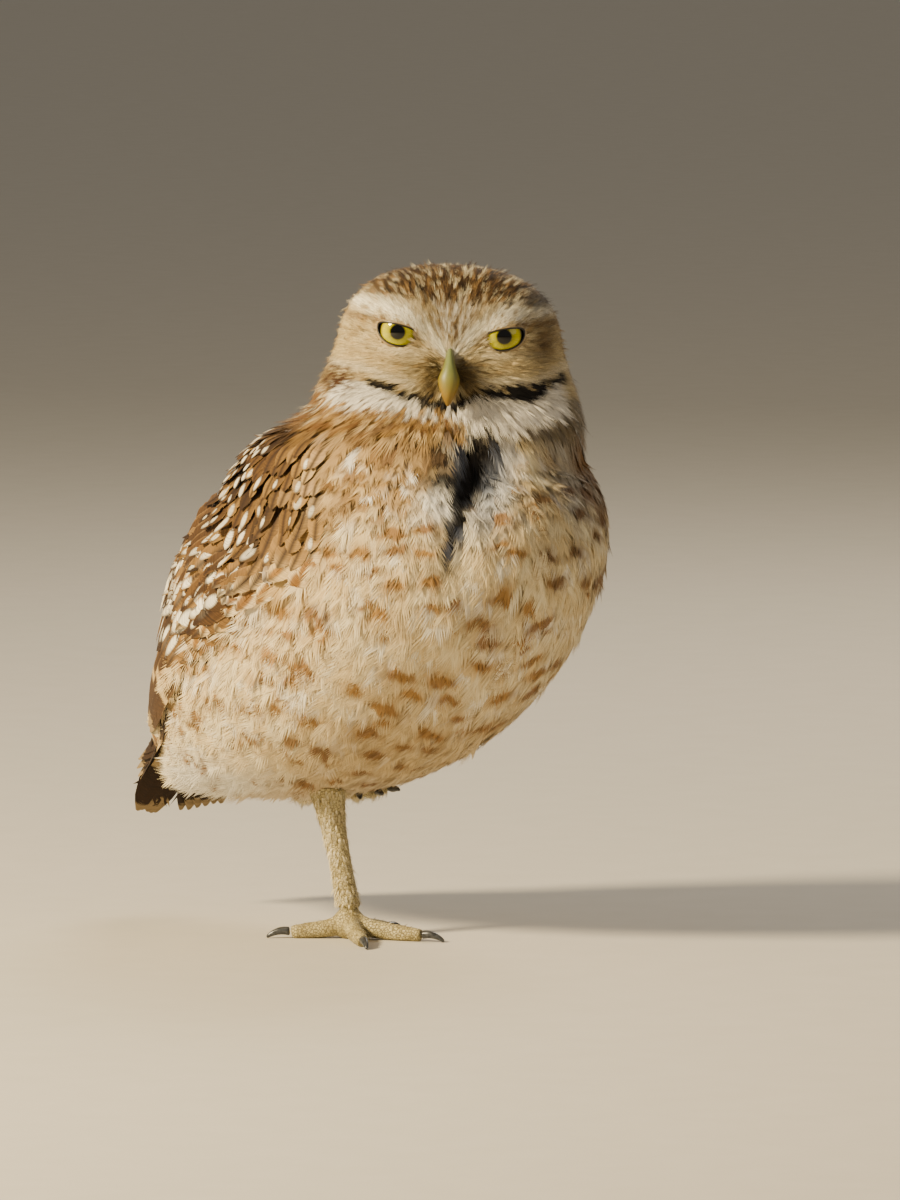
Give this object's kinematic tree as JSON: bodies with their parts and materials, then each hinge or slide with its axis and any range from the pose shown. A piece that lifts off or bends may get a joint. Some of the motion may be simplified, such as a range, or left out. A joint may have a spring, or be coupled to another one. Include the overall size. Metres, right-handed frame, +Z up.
{
  "type": "burrowing owl",
  "caption": "Life-size burrowing owl at rest on one leg, head turned over its right shoulder, wings folded and the other foot drawn up under the belly.",
  "frame": {"origin": "on the floor at the middle of the standing foot's sole", "axes": "+Z is up, the breast faces -Y and the owl's left side is +X"},
  "size_m": [0.1258, 0.1903, 0.2112],
  "materials": {
    "body_plumage": "soft cream feathers with brown bars",
    "head_plumage": "short tan and white face and crown feathers",
    "wing_plumage": "brown vaned feathers with white spots",
    "tail_plumage": "dark brown vaned feathers with pale bars",
    "eye": "wet, clear cornea over a yellow iris",
    "bill": "satin olive horn",
    "leg": "khaki skin with short bristly feathers",
    "claw": "dark grey horn"
  },
  "bodies": {
    "root": {"torso": "body_plumage", "neck": "body_plumage", "head": "head_plumage", "wing_right": "wing_plumage", "wing_left": "wing_plumage", "tail": "tail_plumage", "eye_right": "eye", "eye_left": "eye", "bill_upper": "bill", "bill_lower": "bill", "thigh_right": "leg", "tarsus_right": "leg", "foot_right": "leg", "tarsus_left": "leg", "foot_left": "leg", "claw_right_inner": "claw", "claw_right_middle": "claw", "claw_right_outer": "claw", "claw_right_hind": "claw", "claw_left_inner": "claw", "claw_left_middle": "claw", "claw_left_outer": "claw", "claw_left_hind": "claw"}
  },
  "joints": []
}
